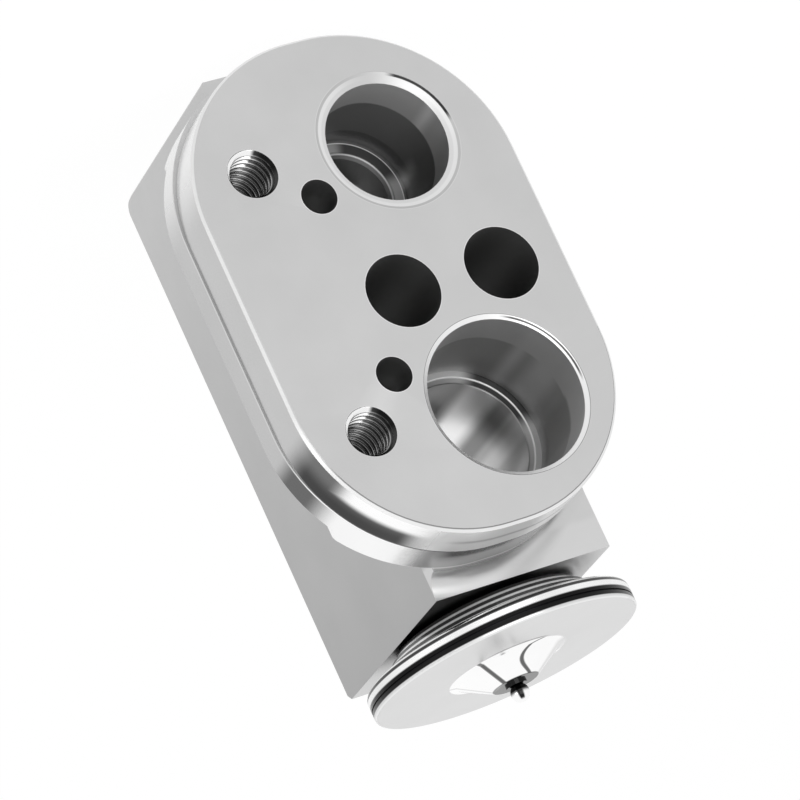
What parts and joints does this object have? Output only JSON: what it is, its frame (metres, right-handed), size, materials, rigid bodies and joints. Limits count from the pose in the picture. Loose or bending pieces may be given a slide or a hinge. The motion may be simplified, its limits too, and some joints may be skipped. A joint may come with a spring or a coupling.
{
  "type": "expansion valve",
  "caption": "Block-type refrigerant expansion valve with a diaphragm head, a flanged front face and bored ports.",
  "frame": {"origin": "on the machined front face, midway between the two large bolt holes", "axes": "+Z towards the diaphragm head, +Y into the block from the front face, X along the front face"},
  "size_m": [0.0422, 0.045, 0.0783],
  "materials": {
    "block_aluminium": "fine satin, machined",
    "rod_aluminium": "turned",
    "head_steel": "satin, bright rim",
    "seat_steel": "ground",
    "ball_steel": "polished",
    "spring_steel": "drawn",
    "plug_brass": "turned",
    "seal_rubber": "matte"
  },
  "bodies": {
    "housing": {"valve_block": "block_aluminium", "seat_ring": "seat_steel", "rod_seal": "seal_rubber", "seal_retainer": "plug_brass", "head_seal": "seal_rubber", "head_base": "head_steel", "diaphragm": "spring_steel", "head_cap": "head_steel", "charge_ball": "ball_steel"},
    "valve_stem": {"stop_plate": "plug_brass", "sensing_rod": "rod_aluminium", "push_pin": "seat_steel", "valve_ball": "ball_steel", "ball_carrier": "seat_steel", "damping_ring": "spring_steel"},
    "plug_slide": {"plug_seal": "seal_rubber", "superheat_spring": "spring_steel"},
    "plug": {"adjusting_plug": "plug_brass"}
  },
  "joints": [
    {"name": "valve_stroke", "type": "slide", "parent": "housing", "child": "valve_stem", "axis": [0, 0, -1], "range_m": [0, 0.0008], "stiffness_N_per_m": 3000, "springref_m": -0.003, "deforming": ["superheat_spring", "diaphragm"]},
    {"name": "plug_advance", "type": "slide", "parent": "housing", "child": "plug_slide", "axis": [0, 0, 1], "range_m": [-0.001, 0.001], "deforming": ["superheat_spring"]},
    {"name": "plug_turn", "type": "hinge", "parent": "plug_slide", "child": "plug", "pos_m": [0, 0.027, -0.031], "axis": [0, 0, 1], "range_deg": [-360, 360]}
  ],
  "couplings": [
    {"joint": "plug_advance", "follows": "plug_turn", "m_per_rad": 0.00015915}
  ]
}
